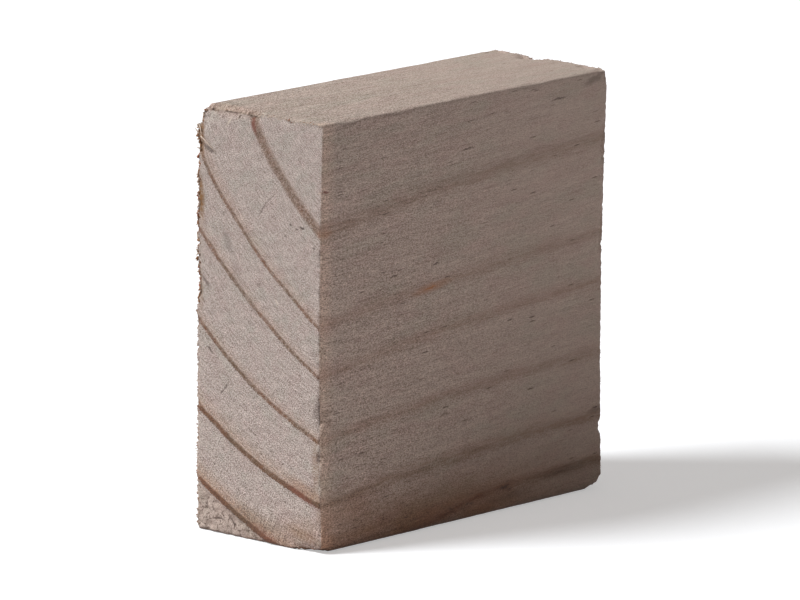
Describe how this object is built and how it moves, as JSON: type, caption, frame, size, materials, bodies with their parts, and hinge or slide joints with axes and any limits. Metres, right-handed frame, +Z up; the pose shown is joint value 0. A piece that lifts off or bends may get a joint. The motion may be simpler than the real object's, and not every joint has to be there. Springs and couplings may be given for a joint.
{
  "type": "wooden block",
  "caption": "Square block of sawn softwood standing on its planed edge, used as a stop, spacer or small stand.",
  "frame": {"origin": "centre of the bounding box's footprint, on the planed narrow edge the block rests on", "axes": "X along the grain from the near sawn end to the far one, Y through the board's thickness towards the back broad face, Z up the board's width"},
  "size_m": [0.089, 0.0346, 0.09],
  "materials": {
    "pine": "dry unfinished softwood, planed on the long faces and rough sawn on the ends"
  },
  "bodies": {
    "root": {"wooden_block": "pine"}
  },
  "joints": []
}
